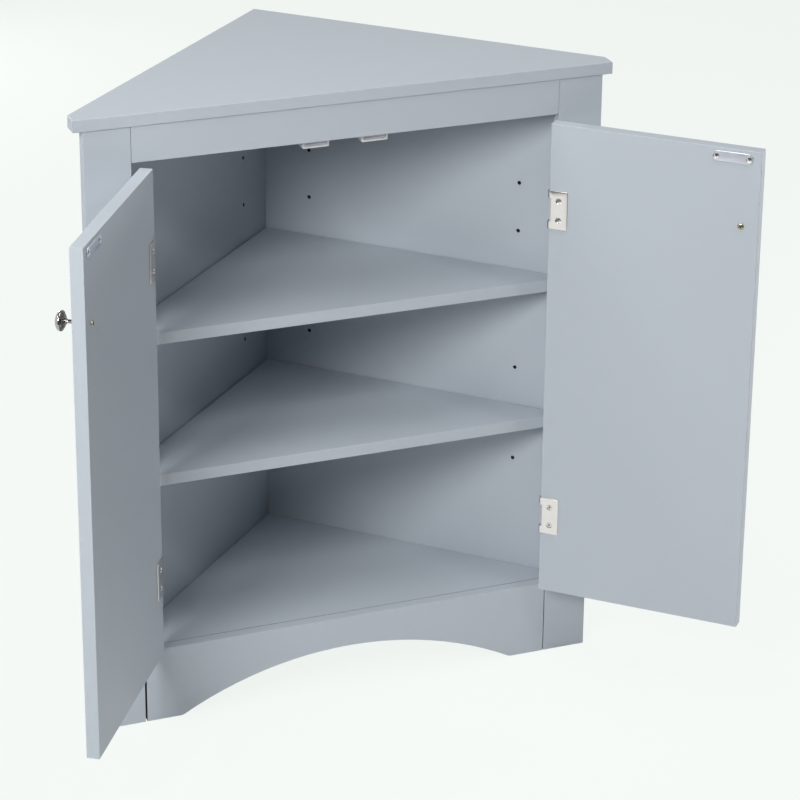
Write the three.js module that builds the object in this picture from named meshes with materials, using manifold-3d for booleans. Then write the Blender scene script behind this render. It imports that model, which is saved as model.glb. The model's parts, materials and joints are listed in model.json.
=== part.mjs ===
// Corner cupboard with two inset doors and two adjustable shelves.
// Millimetres, +Z up, +X to the right as seen from the front, and the front faces -Y.
// The origin is on the floor, in the joint where the two side panels meet at the back corner.
import * as THREE from "three";
import { mergeVertices, toCreasedNormals } from "three/addons/utils/BufferGeometryUtils.js";
import Module from "manifold-3d";

const wasm = await Module();
wasm.setup();

// Boards and the whole body
const cupboardHeight = 800;
const bodyWidth = 657;
const openingWidth = 542.5;
const boardThickness = 15;
const doorThickness = 16;
const jointGap = 0.3;
const edgeEase = 0.4;
const sidePanelInset = 1;

// Top panel
const topFrontOverhang = 2;
const topEndOverhang = 12;
const topWallOverhang = 13.5;

// Rail, bottom panel and arched apron
const railHeight = 45;
const bottomPanelTop = 98.5;
const apronLeftGap = 2.4;
const apronRightGap = 1.2;
const footWidth = 48.5;
const archRise = 57.5;
const archFootRadius = 10;

// Shelves, and the rows of holes that their pins go in
const shelfBehindDoor = 2;
const shelfSideGap = 1.5;
const shelfTipClip = 12;
const holeRadius = 2.5;
const holeDepth = 9;
const holePitch = 64;
const holesPerGroup = 3;
const upperGroupHeight = 630;
const lowerGroupHeight = 379;
const backColumnInset = 63;
const frontColumnInset = 77.5;
const upperShelfStepCount = 2;
const lowerShelfStepCount = 1;

// Shelf pins
const pinSeatDrop = 2;
const pinShankRadius = 2.4;
const pinShankLength = 8.5;
const pinCollarRadius = 4.2;
const pinCollarThickness = 1.1;
const pinTongueLength = 10;

// Doors
const doorEdgeGap = 4;
const doorMeetingGap = 3;
const leftDoorAngle = 123.2;
const rightDoorAngle = 136.4;

// Hinges: a wrap-round leaf on the door, a flat leaf on the stile and a pin in front
const hingeFromDoorTop = 110.5;
const hingeFromDoorBottom = 107;
const hingeHeight = 50;
const leafThickness = 1.6;
const leafSeat = 0.1;
const doorLeafWidth = 24;
const doorLeafNotch = 2.2;
const leafCornerRadius = 2;
const knuckleRadius = 4.1;
const knuckleBore = 2.5;
const centreKnuckleHeight = 29;
const knuckleSpacing = 0.2;
const knuckleFaceClearance = 0.4;
const frameLeafBackMargin = 0.6;
const frameLeafFrontMargin = 0.8;
const hingePinRadius = 2.3;
const hingePinHeadRadius = 3.4;
const hingePinHeadHeight = 1.2;
const hingePinHeadRelief = 0.15;

// Countersunk screws of the hinges, strike plates and catches
const screwHeadRadius = 3.5;
const screwShankRadius = 1.7;
const screwLength = 12;
const screwClearance = 0.25;
const screwSink = 0.1;
const screwRim = 0.35;
const leafScrewFromEdge = 12.5;
const leafScrewSpacing = 25;

// Knobs and their through bolts
const knobFromFreeEdge = 21.75;
const knobBelowDoorTop = 96.5;
const knobRadius = 12;
const knobProjection = 25.5;
const knobBaseRadius = 7;
const knobStemRadius = 2.9;
const knobNeckRadius = 2.3;
const knobBeadRadius = 3.8;
const knobBeadLength = 2;
const knobBeadFromDoor = 12;
const knobBoreDepth = 7;
const boltShankRadius = 2;
const boltHeadRadius = 4;
const boltHeadHeight = 2.1;
const boltGrip = 5.5;
const boltClearance = 0.3;

// Magnetic catches under the rail, and the strike plates they hold
const catchFromCentre = 37.5;
const catchWidth = 33.5;
const catchDepth = 18;
const catchDrop = 13.5;
const catchBodyRise = 12;
const catchFlangeThickness = 4;
const catchFlangeRise = 32;
const catchAirGap = 0.4;
const catchWall = 3;
const catchPocketDepth = 11;
const catchScrewRise = 22;
const catchScrewSpacing = 18;
const magnetFit = 0.25;
const magnetRecess = 1.4;
const poleThickness = 1.8;
const poleRecess = 0.5;
const strikeLength = 51;
const strikeWidth = 13;
const strikeThickness = 1.2;
const strikeBelowDoorTop = 10.7;
const strikeScrewSpacing = 41;

// Facets: how many sides the round forms have
const screwSides = 8;
const holeSides = 12;
const barrelSides = 16;
const knobSides = 24;
const cornerSteps = 3;
const archSteps = 24;
const cutOverrun = 2;

// Sizes that follow from the ones above
const bodyHeight = cupboardHeight - boardThickness;
const halfBody = bodyWidth / 2;
const halfOpening = openingWidth / 2;
const diagonal = Math.SQRT2;
const outerCorner = halfBody + boardThickness - sidePanelInset * diagonal;
const innerCorner = outerCorner - boardThickness * diagonal;
const frontY = -(outerCorner + innerCorner) / 2;
const railBottom = bodyHeight - railHeight;
const doorTop = railBottom - doorEdgeGap;
const doorBottom = bottomPanelTop + doorEdgeGap;
const doorWidth = halfOpening - doorEdgeGap - doorMeetingGap / 2;
const doorBackY = frontY + doorThickness;
const frameBackY = frontY + boardThickness;
const barrelForward = knuckleRadius + knuckleFaceClearance;
const hingeAxisX = halfOpening - knuckleRadius;
const hingeAxisY = frontY - barrelForward;
const hingeHeights = [doorTop - hingeFromDoorTop, doorBottom + hingeFromDoorBottom];
const frontColumn = (innerCorner - boardThickness) * diagonal - frontColumnInset;
const shelfHeights = [
  upperGroupHeight - upperShelfStepCount * holePitch - pinSeatDrop,
  lowerGroupHeight - lowerShelfStepCount * holePitch - pinSeatDrop,
];

// Finishes
const paint = { color: 0xaab4be, roughness: 0.45, metalness: 0 };
const nickel = { color: 0xc9c7c2, roughness: 0.3, metalness: 1 };
const polished = { color: 0x8f8d8a, roughness: 0.12, metalness: 1 };
const yellowZinc = { color: 0xb9a368, roughness: 0.35, metalness: 1 };
const whitePlastic = { color: 0xeceef0, roughness: 0.4, metalness: 0 };
const magnetGrey = { color: 0x6f7377, roughness: 0.5, metalness: 0.6 };

const cupboard = new THREE.Group();
cupboard.name = "corner_cupboard";

function point(x, y) {
  return new THREE.Vector2(x, y);
}

function arc(centreX, centreY, radius, from, to, steps) {
  return Array.from({ length: steps + 1 }, (_, step) => {
    const angle = from + ((to - from) * step) / steps;
    return point(centreX + radius * Math.cos(angle), centreY + radius * Math.sin(angle));
  });
}

// A rectangle whose corners are rounded, as an outline
function roundedRectangle(left, low, right, high, radius) {
  const quarter = Math.PI / 2;
  return [
    ...arc(right - radius, low + radius, radius, -quarter, 0, cornerSteps),
    ...arc(right - radius, high - radius, radius, 0, quarter, cornerSteps),
    ...arc(left + radius, high - radius, radius, quarter, 2 * quarter, cornerSteps),
    ...arc(left + radius, low + radius, radius, 2 * quarter, 3 * quarter, cornerSteps),
  ];
}

// Puts a geometry's X, Y and Z axes along three given directions, at a place
function aligned(geometry, xAxis, yAxis, zAxis, place) {
  const basis = new THREE.Matrix4().makeBasis(
    new THREE.Vector3(...xAxis),
    new THREE.Vector3(...yAxis),
    new THREE.Vector3(...zAxis),
  );
  return geometry.applyMatrix4(basis.setPosition(...place));
}

// A prism standing on its plan outline
function prism(outline, low, high) {
  const geometry = new THREE.ExtrudeGeometry(new THREE.Shape(outline), {
    depth: high - low,
    bevelEnabled: false,
  });
  return geometry.translate(0, 0, low);
}

// A prism whose outline is drawn in X and Z, and whose thickness runs along Y
function frontPrism(outline, nearY, farY) {
  const geometry = prism(outline, 0, farY - nearY);
  return aligned(geometry, [1, 0, 0], [0, 0, 1], [0, -1, 0], [0, farY, 0]);
}

// A board with its rims softened by a small bevel, lying from z = 0 up to its thickness
function easedBoard(outline, thickness) {
  const geometry = new THREE.ExtrudeGeometry(new THREE.Shape(outline), {
    depth: thickness - 2 * edgeEase,
    bevelEnabled: true,
    bevelThickness: edgeEase,
    bevelSize: edgeEase,
    bevelOffset: -edgeEase,
    bevelSegments: 1,
  });
  return geometry.translate(0, 0, edgeEase);
}

// The same board standing, with its outline in X and Z and its front face at nearY
function frontBoard(outline, nearY, thickness) {
  const geometry = easedBoard(outline, thickness);
  return aligned(geometry, [1, 0, 0], [0, 0, 1], [0, -1, 0], [0, nearY + thickness, 0]);
}

function rectangle(left, low, right, high) {
  return [point(left, low), point(right, low), point(right, high), point(left, high)];
}

function block(low, high) {
  const size = high.map((value, axis) => value - low[axis]);
  const middle = high.map((value, axis) => (value + low[axis]) / 2);
  return new THREE.BoxGeometry(...size).translate(...middle);
}

// A cone or rod whose axis leaves a place in a direction; a screw or a hole is made along it
function alongAxis(geometry, place, direction) {
  const turn = new THREE.Quaternion().setFromUnitVectors(
    new THREE.Vector3(0, 1, 0),
    new THREE.Vector3(...direction).normalize(),
  );
  return geometry.applyQuaternion(turn).translate(...place);
}

function rod(radius, place, direction, from, to, sides) {
  const geometry = new THREE.CylinderGeometry(radius, radius, to - from, sides);
  return alongAxis(geometry.translate(0, (from + to) / 2, 0), place, direction);
}

function lathe(profile, place, direction, sides) {
  const geometry = new THREE.LatheGeometry(profile, sides);
  return alongAxis(geometry, place, direction);
}

function solidOf(geometry) {
  const bare = geometry.clone();
  bare.deleteAttribute("normal");
  bare.deleteAttribute("uv");
  const merged = mergeVertices(bare, cutOverrun / 20000);
  return new wasm.Manifold(new wasm.Mesh({
    numProp: 3,
    vertProperties: merged.attributes.position.array,
    triVerts: new Uint32Array(merged.index.array),
  }));
}

function geometryOf(solid) {
  const mesh = solid.getMesh();
  const geometry = new THREE.BufferGeometry();
  geometry.setAttribute("position", new THREE.BufferAttribute(mesh.vertProperties, 3));
  geometry.setIndex(new THREE.BufferAttribute(mesh.triVerts, 1));
  return toCreasedNormals(geometry, Math.PI / 5);
}

// The first geometries joined into one solid, less all the cuts
function shaped(parts, cuts, kept = []) {
  let solid = solidOf(parts[0]);
  for (const part of parts.slice(1)) solid = solid.add(solidOf(part));
  for (const part of kept) solid = solid.intersect(solidOf(part));
  for (const part of cuts) solid = solid.subtract(solidOf(part));
  return geometryOf(solid);
}

function addPiece(parent, name, geometry, finish) {
  const piece = new THREE.Mesh(geometry, new THREE.MeshStandardMaterial(finish));
  piece.name = name;
  parent.add(piece);
  return piece;
}

// A hole for a countersunk screw: a cone through the plate, and a pilot in the board behind
function countersink(place, direction, plateThickness) {
  const wide = screwHeadRadius + screwClearance;
  const narrow = screwShankRadius + screwClearance;
  const cone = new THREE.CylinderGeometry(wide, narrow, plateThickness, screwSides);
  const middle = cone.translate(0, plateThickness / 2, 0);
  return [
    alongAxis(middle, place, direction),
    rod(narrow, place, direction, -cutOverrun, cutOverrun, screwSides),
    rod(wide, place, direction, plateThickness - screwRim, plateThickness + cutOverrun, screwSides),
  ];
}

function pilotHole(place, direction) {
  const radius = screwShankRadius + screwClearance;
  return rod(radius, place, direction, -screwLength, cutOverrun, screwSides);
}

// A countersunk screw whose head fills a plate of the given thickness and whose shank goes back
function countersunkScrew(place, direction, plateThickness) {
  const top = plateThickness - screwSink;
  const tip = -(screwLength - plateThickness);
  const profile = [
    point(0, tip),
    point(screwShankRadius / 2, tip),
    point(screwShankRadius, tip + screwShankRadius),
    point(screwShankRadius, 0),
    point(screwHeadRadius, top - screwSink),
    point(screwHeadRadius, top),
    point(0, top),
  ];
  return lathe(profile, place, direction, screwSides);
}

// Top: a pentagon that overhangs the body, with its two front tips cut square to the front
function topPanel() {
  const end = halfBody + topEndOverhang;
  const back = outerCorner + topWallOverhang * diagonal;
  const outline = [
    point(-end, -topFrontOverhang),
    point(end, -topFrontOverhang),
    point(end, back - end),
    point(0, back),
    point(-end, back - end),
  ];
  return easedBoard(outline, boardThickness).translate(0, frontY, bodyHeight);
}

// The pin holes of one side panel: the direction into the panel and each hole's place
function holeDirection(side) {
  return [side / diagonal, 1 / diagonal, 0];
}

function holePlace(side, column, height) {
  const reach = column / diagonal;
  return [side * reach, frontY + innerCorner - reach, height];
}

function holeHeights() {
  const steps = Array.from({ length: holesPerGroup }, (_, step) => step * holePitch);
  return [
    ...steps.map((step) => upperGroupHeight - step),
    ...steps.map((step) => lowerGroupHeight - step),
  ];
}

// Side panel: it stands on the floor at 45 degrees. The left one runs through to the back
// corner and the right one butts against its inner face.
function sidePanel(side) {
  const nearY = boardThickness + jointGap;
  const butt = side > 0 ? jointGap / diagonal : 0;
  const plan = side > 0
    ? [
      point(outerCorner - nearY, nearY),
      point((outerCorner - innerCorner) / 2 + butt, (outerCorner + innerCorner) / 2 - butt),
      point(butt, innerCorner - butt),
      point(innerCorner - nearY, nearY),
    ]
    : [
      point(nearY - outerCorner, nearY),
      point(nearY - innerCorner, nearY),
      point((outerCorner - innerCorner) / 2, (outerCorner + innerCorner) / 2),
      point(0, outerCorner),
    ];
  const panel = prism(plan, 0, bodyHeight).translate(0, frontY, 0);
  const holes = [backColumnInset, frontColumn].flatMap((column) => holeHeights().map((height) => rod(
    holeRadius,
    holePlace(side, column, height),
    holeDirection(side),
    -cutOverrun,
    holeDepth,
    holeSides,
  )));
  return shaped([panel], holes);
}

// Stile: an upright of the front frame, from the floor to the underside of the top
function stile(side) {
  const inner = side * halfOpening;
  const outer = side * halfBody;
  const outline = rectangle(Math.min(inner, outer), 0, Math.max(inner, outer), bodyHeight);
  return frontBoard(outline, frontY, boardThickness);
}

// Rail: it joins the stiles under the top, and carries the two catches on its back
function topRail() {
  const half = halfOpening - jointGap;
  const rail = frontBoard(rectangle(-half, railBottom, half, bodyHeight), frontY, boardThickness);
  const pilots = [-1, 1].flatMap((side) => catchScrewPlaces(side).map(([x, , z]) => (
    rod(screwShankRadius + screwClearance, [x, frameBackY, z], [0, 1, 0], -screwLength, cutOverrun, screwSides)
  )));
  return shaped([rail], pilots);
}

// Apron: two square feet, and between them one circular arch that eases into each foot
function apron() {
  const halfChord = halfOpening - footWidth;
  const archRadius = (halfChord ** 2 + archRise ** 2) / (2 * archRise);
  const archCentre = archRise - archRadius;
  const easeX = Math.sqrt((archRadius + archFootRadius) ** 2 - (archFootRadius - archCentre) ** 2);
  const meeting = Math.atan2(archFootRadius - archCentre, easeX);
  const left = -halfOpening + apronLeftGap;
  const right = halfOpening - apronRightGap;
  const outline = [
    point(left, bottomPanelTop),
    point(left, 0),
    ...arc(-easeX, archFootRadius, archFootRadius, -Math.PI / 2, -meeting, cornerSteps),
    ...arc(0, archCentre, archRadius, Math.PI - meeting, meeting, archSteps).slice(1, -1),
    ...arc(easeX, archFootRadius, archFootRadius, Math.PI + meeting, 1.5 * Math.PI, cornerSteps),
    point(right, 0),
    point(right, bottomPanelTop),
  ];
  return frontBoard(outline, frontY, boardThickness);
}

// Bottom panel: it fills the triangle behind the apron and between the side panels
function bottomPanel() {
  const nearY = boardThickness + jointGap;
  const back = innerCorner - jointGap * diagonal;
  const outline = [point(nearY - back, nearY), point(back - nearY, nearY), point(0, back)];
  const low = bottomPanelTop - boardThickness;
  return easedBoard(outline, boardThickness).translate(0, frontY, low);
}

// Shelf: loose on four pins, clear of the side panels and of the closed doors
function shelf(height) {
  const nearY = doorThickness + shelfBehindDoor;
  const back = innerCorner - shelfSideGap * diagonal;
  const tip = back - nearY - shelfTipClip;
  const outline = [
    point(-tip, nearY),
    point(tip, nearY),
    point(tip, nearY + shelfTipClip),
    point(0, back),
    point(-tip, nearY + shelfTipClip),
  ];
  return easedBoard(outline, boardThickness).translate(0, frontY, height);
}

// Shelf pin, along +X from the panel's face: a shank in the hole, a collar on the face and
// a half-round tongue whose flat carries the shelf
function shelfPin() {
  const axis = [1, 0, 0];
  const origin = [0, 0, 0];
  const tongueEnd = pinCollarThickness + pinTongueLength;
  const shank = rod(pinShankRadius, origin, axis, -pinShankLength, pinCollarThickness, holeSides);
  const collar = rod(pinCollarRadius, origin, axis, jointGap / 2, pinCollarThickness, barrelSides);
  const round = rod(pinCollarRadius, origin, axis, pinCollarThickness / 2, tongueEnd, barrelSides);
  const belowSeat = block(
    [0, -pinCollarRadius, -pinCollarRadius],
    [tongueEnd, pinCollarRadius, -pinSeatDrop],
  );
  const tongue = solidOf(round).intersect(solidOf(belowSeat));
  return geometryOf(solidOf(shank).add(solidOf(collar)).add(tongue));
}

// Catch: a flange screwed to the rail's back, and a case below it with a pocket in its front
function catchPlaces(side) {
  const centre = side * catchFromCentre;
  return {
    left: centre - catchWidth / 2,
    right: centre + catchWidth / 2,
    low: railBottom - catchDrop,
    faceY: doorBackY + strikeThickness + catchAirGap,
  };
}

function catchScrewPlaces(side) {
  const z = railBottom + catchScrewRise;
  const seatY = frameBackY + leafSeat;
  return [-1, 1].map((end) => [
    side * catchFromCentre + (end * catchScrewSpacing) / 2,
    seatY,
    z,
  ]);
}

function catchPocket(side) {
  const { left, right, low, faceY } = catchPlaces(side);
  return {
    from: [left + catchWall, faceY, low + catchWall],
    to: [right - catchWall, faceY + catchPocketDepth, railBottom + catchBodyRise - catchWall],
  };
}

function catchCase(side) {
  const { left, right, low, faceY } = catchPlaces(side);
  const bodyTop = railBottom + catchBodyRise;
  const seatY = frameBackY + leafSeat;
  const casing = prism(
    roundedRectangle(left, faceY, right, faceY + catchDepth, edgeEase),
    low,
    bodyTop,
  );
  const flange = frontPrism(
    roundedRectangle(left, railBottom + jointGap, right, railBottom + catchFlangeRise, catchWall),
    seatY,
    seatY + catchFlangeThickness,
  );
  const { from, to } = catchPocket(side);
  const pocket = block([from[0], from[1] - cutOverrun, from[2]], to);
  const screwHoles = catchScrewPlaces(side).flatMap((place) => (
    countersink(place, [0, 1, 0], catchFlangeThickness)
  ));
  return shaped([casing, flange], [pocket, ...screwHoles]);
}

// The magnet in the pocket, between two steel pole plates that stand a little prouder
function catchMagnet(side) {
  const { from, to } = catchPocket(side);
  const left = from[0] + magnetFit;
  const right = to[0] - magnetFit;
  const low = from[2] + magnetFit;
  const high = to[2] - magnetFit;
  const back = to[1] - magnetFit;
  const poleFront = from[1] + poleRecess;
  const magnet = block([left, from[1] + magnetRecess, low], [right, back, high]);
  const lowerPole = block([left, poleFront, low], [right, back, low + poleThickness]);
  const upperPole = block([left, poleFront, high - poleThickness], [right, back, high]);
  return shaped([magnet, lowerPole, upperPole], []);
}

// Door parts are made in a frame whose origin is on the hinge axis at floor level, with the
// door closed. toCentre is +1 on the left door and -1 on the right one.
function doorEdge(toCentre) {
  return toCentre * (doorEdgeGap - knuckleRadius);
}

function acrossDoor(toCentre, fromHingeEdge) {
  return doorEdge(toCentre) + toCentre * fromHingeEdge;
}

const doorFaceY = barrelForward;
const doorInnerY = barrelForward + doorThickness;
const knobHeight = doorTop - knobBelowDoorTop;
const strikeHeight = doorTop - strikeBelowDoorTop;
const inward = [0, 1, 0];
const outward = [0, -1, 0];

function leafScrewPlaces(toCentre, hingeCentre) {
  return [-1, 1].map((end) => [
    acrossDoor(toCentre, leafScrewFromEdge),
    doorInnerY + leafSeat,
    hingeCentre + (end * leafScrewSpacing) / 2,
  ]);
}

function strikeScrewPlaces(toCentre) {
  const centre = toCentre * (hingeAxisX - catchFromCentre);
  return [-1, 1].map((end) => [
    centre + (end * strikeScrewSpacing) / 2,
    doorInnerY + leafSeat,
    strikeHeight,
  ]);
}

function knobPlace(toCentre, y) {
  return [acrossDoor(toCentre, doorWidth - knobFromFreeEdge), y, knobHeight];
}

// Door: a plain slab, drilled for its hinge screws, its strike plate and its knob
function doorPanel(toCentre) {
  const near = doorEdge(toCentre);
  const far = acrossDoor(toCentre, doorWidth);
  const outline = rectangle(Math.min(near, far), doorBottom, Math.max(near, far), doorTop);
  const slab = frontBoard(outline, doorFaceY, doorThickness);
  const screws = [
    ...hingeHeights.flatMap((height) => leafScrewPlaces(toCentre, height)),
    ...strikeScrewPlaces(toCentre),
  ];
  const bolt = rod(
    boltShankRadius + boltClearance,
    knobPlace(toCentre, doorFaceY),
    inward,
    -cutOverrun,
    doorThickness + cutOverrun,
    screwSides,
  );
  return shaped([slab], [...screws.map((place) => pilotHole(place, inward)), bolt]);
}

// Door leaf: a plate on the inner face, with an arm at each end that wraps round the door's
// edge and ends in a knuckle. The centre knuckle of the frame leaf nests in its notch.
function doorLeaf(toCentre, hingeCentre) {
  const low = hingeCentre - hingeHeight / 2;
  const high = hingeCentre + hingeHeight / 2;
  const armHeight = (hingeHeight - centreKnuckleHeight) / 2 - knuckleSpacing;
  const plateY = doorInnerY + leafSeat;
  const backY = plateY + leafThickness;
  const free = acrossDoor(toCentre, doorLeafWidth);
  const notch = acrossDoor(toCentre, doorLeafNotch);
  const armInner = doorEdge(toCentre) - toCentre * leafSeat;
  const armOuter = armInner - toCentre * leafThickness;
  const bend = arc(0, backY - leafThickness, leafThickness, 0, Math.PI / 2, cornerSteps)
    .map(({ x, y }) => point(armOuter + toCentre * (leafThickness - x), y));
  const armPlan = [
    point(armInner, 0),
    point(armOuter, 0),
    ...bend,
    point(notch + toCentre * leafThickness, backY),
    point(notch + toCentre * leafThickness, plateY),
    point(armInner, plateY),
  ];
  const plate = frontPrism(
    rectangle(Math.min(notch, free), low, Math.max(notch, free), high),
    plateY,
    backY,
  );
  const origin = [0, 0, 0];
  const up = [0, 0, 1];
  const ends = [[low, low + armHeight], [high - armHeight, high]];
  const arms = ends.map(([from, to]) => prism(armPlan, from, to));
  const knuckles = ends.map(([from, to]) => rod(knuckleRadius, origin, up, from, to, barrelSides));
  const beyond = -toCentre * (knuckleRadius + leafCornerRadius + cutOverrun);
  const envelope = frontPrism(
    roundedRectangle(Math.min(beyond, free), low, Math.max(beyond, free), high, leafCornerRadius),
    -knuckleRadius - cutOverrun,
    backY + cutOverrun,
  );
  const holes = leafScrewPlaces(toCentre, hingeCentre).flatMap((place) => (
    countersink(place, inward, leafThickness)
  ));
  const bore = rod(knuckleBore, origin, up, low - cutOverrun, high + cutOverrun, barrelSides);
  return shaped([plate, ...arms, ...knuckles], [...holes, bore], [envelope]);
}

// Frame leaf: a flat plate on the stile's inner edge, with its two screws seated in it, and
// a centre knuckle that stands out in front of the stile
function frameLeaf(toCentre, hingeCentre) {
  const low = hingeCentre - hingeHeight / 2;
  const high = hingeCentre + hingeHeight / 2;
  const seat = -toCentre * (knuckleRadius - leafSeat);
  const face = seat + toCentre * leafThickness;
  const frontEdge = barrelForward + frameLeafFrontMargin;
  const backEdge = barrelForward + boardThickness - frameLeafBackMargin;
  const outline = roundedRectangle(frontEdge, low, backEdge, high, leafCornerRadius);
  const plate = aligned(
    prism(outline, 0, leafThickness),
    [0, 1, 0],
    [0, 0, 1],
    [1, 0, 0],
    [Math.min(seat, face), 0, 0],
  );
  const halfKnuckle = centreKnuckleHeight / 2;
  const tab = block(
    [Math.min(seat, face), 0, hingeCentre - halfKnuckle],
    [Math.max(seat, face), frontEdge + leafCornerRadius, hingeCentre + halfKnuckle],
  );
  const origin = [0, 0, hingeCentre];
  const up = [0, 0, 1];
  const knuckle = rod(knuckleRadius, origin, up, -halfKnuckle, halfKnuckle, barrelSides);
  const bore = rod(knuckleBore, origin, up, -hingeHeight, hingeHeight, barrelSides);
  const screwY = (frontEdge + backEdge) / 2;
  const away = [toCentre, 0, 0];
  const places = [-1, 1].map((end) => [seat, screwY, hingeCentre + (end * leafScrewSpacing) / 2]);
  const cones = places.map((place) => countersink(place, away, leafThickness)[0]);
  const heads = places.map((place) => (
    rod(screwHeadRadius - screwClearance, place, away, 0, leafThickness - screwSink, screwSides)
  ));
  const drilled = shaped([plate, tab, knuckle], [bore, ...cones]);
  return shaped([drilled, ...heads], []);
}

// Hinge pin: a plain shaft through the three knuckles, headed at both ends
function hingePin(hingeCentre) {
  const reach = hingeHeight / 2 + hingePinHeadRelief;
  const tip = reach + hingePinHeadHeight;
  const crown = tip - hingePinHeadHeight / 3;
  const half = [
    point(hingePinRadius, reach),
    point(hingePinHeadRadius, reach),
    point(hingePinHeadRadius, crown),
    point(hingePinHeadRadius - hingePinHeadHeight / 2, tip),
    point(0, tip),
  ];
  const profile = [...half.map(({ x, y }) => point(x, -y)).reverse(), ...half];
  return lathe(profile, [0, 0, hingeCentre], [0, 0, 1], barrelSides);
}

// Strike plate: a round-ended steel strip on the door's inner face
function strikePlate(toCentre) {
  const centre = toCentre * (hingeAxisX - catchFromCentre);
  const seatY = doorInnerY + leafSeat;
  const radius = strikeWidth / 2;
  const reach = strikeLength / 2 - radius;
  const quarter = Math.PI / 2;
  const outline = [
    ...arc(centre + reach, strikeHeight, radius, -quarter, quarter, 2 * cornerSteps),
    ...arc(centre - reach, strikeHeight, radius, quarter, 3 * quarter, 2 * cornerSteps),
  ];
  const strip = frontPrism(outline, seatY, seatY + strikeThickness);
  const holes = strikeScrewPlaces(toCentre).flatMap((place) => (
    countersink(place, inward, strikeThickness)
  ));
  return shaped([strip], holes);
}

// Knob: turned from one piece, with a flared base, a stem that narrows to a neck, a bead and
// a domed head with a raised rim. The head's profile runs from the bead to the dome, in shares
// of the head's radius and of the whole projection.
const knobHeadRadiusShares = [0.27, 0.35, 0.6, 0.81, 0.885, 0.97, 1, 0.95, 0.79, 0.54, 0.27];
const knobHeadHeightShares = [0.552, 0.556, 0.585, 0.648, 0.716, 0.73, 0.765, 0.822, 0.898, 0.96, 0.992];
function knob(toCentre) {
  const bore = boltShankRadius + boltClearance / 2;
  const flare = knobBaseRadius / 4;
  const beadEase = knobBeadLength / 4;
  const profile = [
    point(0, knobBoreDepth),
    point(bore, knobBoreDepth),
    point(bore, 0),
    point(knobBaseRadius, 0),
    point(knobBaseRadius, flare / 2),
    point(knobStemRadius + flare, flare + boltClearance),
    point(knobStemRadius, 2 * flare + boltClearance),
    point(knobStemRadius, knobBoreDepth),
    point(knobNeckRadius, knobBeadFromDoor - knobBeadLength / 2),
    point(knobNeckRadius, knobBeadFromDoor),
    point(knobBeadRadius, knobBeadFromDoor + beadEase),
    point(knobBeadRadius, knobBeadFromDoor + knobBeadLength - beadEase),
    ...knobHeadRadiusShares.map((share, index) => (
      point(share * knobRadius, knobHeadHeightShares[index] * knobProjection)
    )),
    point(0, knobProjection),
  ];
  return lathe(profile, knobPlace(toCentre, doorFaceY - leafSeat), outward, knobSides);
}

// Knob bolt: its low domed head is on the door's inner face, and its end is in the knob
function knobBolt(toCentre) {
  const dome = boltHeadHeight / 3;
  const profile = [
    point(0, -doorThickness - boltGrip),
    point(boltShankRadius, -doorThickness - boltGrip),
    point(boltShankRadius, leafSeat),
    point(boltHeadRadius, leafSeat),
    point(boltHeadRadius, boltHeadHeight - dome),
    point(boltHeadRadius - dome, boltHeadHeight),
    point(0, boltHeadHeight),
  ];
  return lathe(profile, knobPlace(toCentre, doorInnerY), inward, screwSides);
}

// The fixed body
addPiece(cupboard, "top_panel", topPanel(), paint);
addPiece(cupboard, "left_side_panel", sidePanel(-1), paint);
addPiece(cupboard, "right_side_panel", sidePanel(1), paint);
addPiece(cupboard, "left_stile", stile(-1), paint);
addPiece(cupboard, "right_stile", stile(1), paint);
addPiece(cupboard, "top_rail", topRail(), paint);
addPiece(cupboard, "apron", apron(), paint);
addPiece(cupboard, "bottom_panel", bottomPanel(), paint);
addPiece(cupboard, "upper_shelf", shelf(shelfHeights[0]), paint);
addPiece(cupboard, "lower_shelf", shelf(shelfHeights[1]), paint);

// Four pins under each shelf, turned to face out of the panel that holds them
["upper", "lower"].forEach((level, index) => {
  for (const [row, column] of [["back", backColumnInset], ["front", frontColumn]]) {
    for (const [hand, side] of [["left", -1], ["right", 1]]) {
      const pin = addPiece(cupboard, `${level}_pin_${row}_${hand}`, shelfPin(), nickel);
      pin.position.set(...holePlace(side, column, shelfHeights[index] + pinSeatDrop));
      pin.rotation.z = side > 0 ? (-3 * Math.PI) / 4 : -Math.PI / 4;
    }
  }
});

for (const [hand, side] of [["left", -1], ["right", 1]]) {
  addPiece(cupboard, `${hand}_catch_case`, catchCase(side), whitePlastic);
  addPiece(cupboard, `${hand}_catch_magnet`, catchMagnet(side), magnetGrey);
  catchScrewPlaces(side).forEach((place, index) => {
    const screw = countersunkScrew(place, [0, 1, 0], catchFlangeThickness);
    addPiece(cupboard, `${hand}_catch_screw_${index + 1}`, screw, nickel);
  });
}

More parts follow.
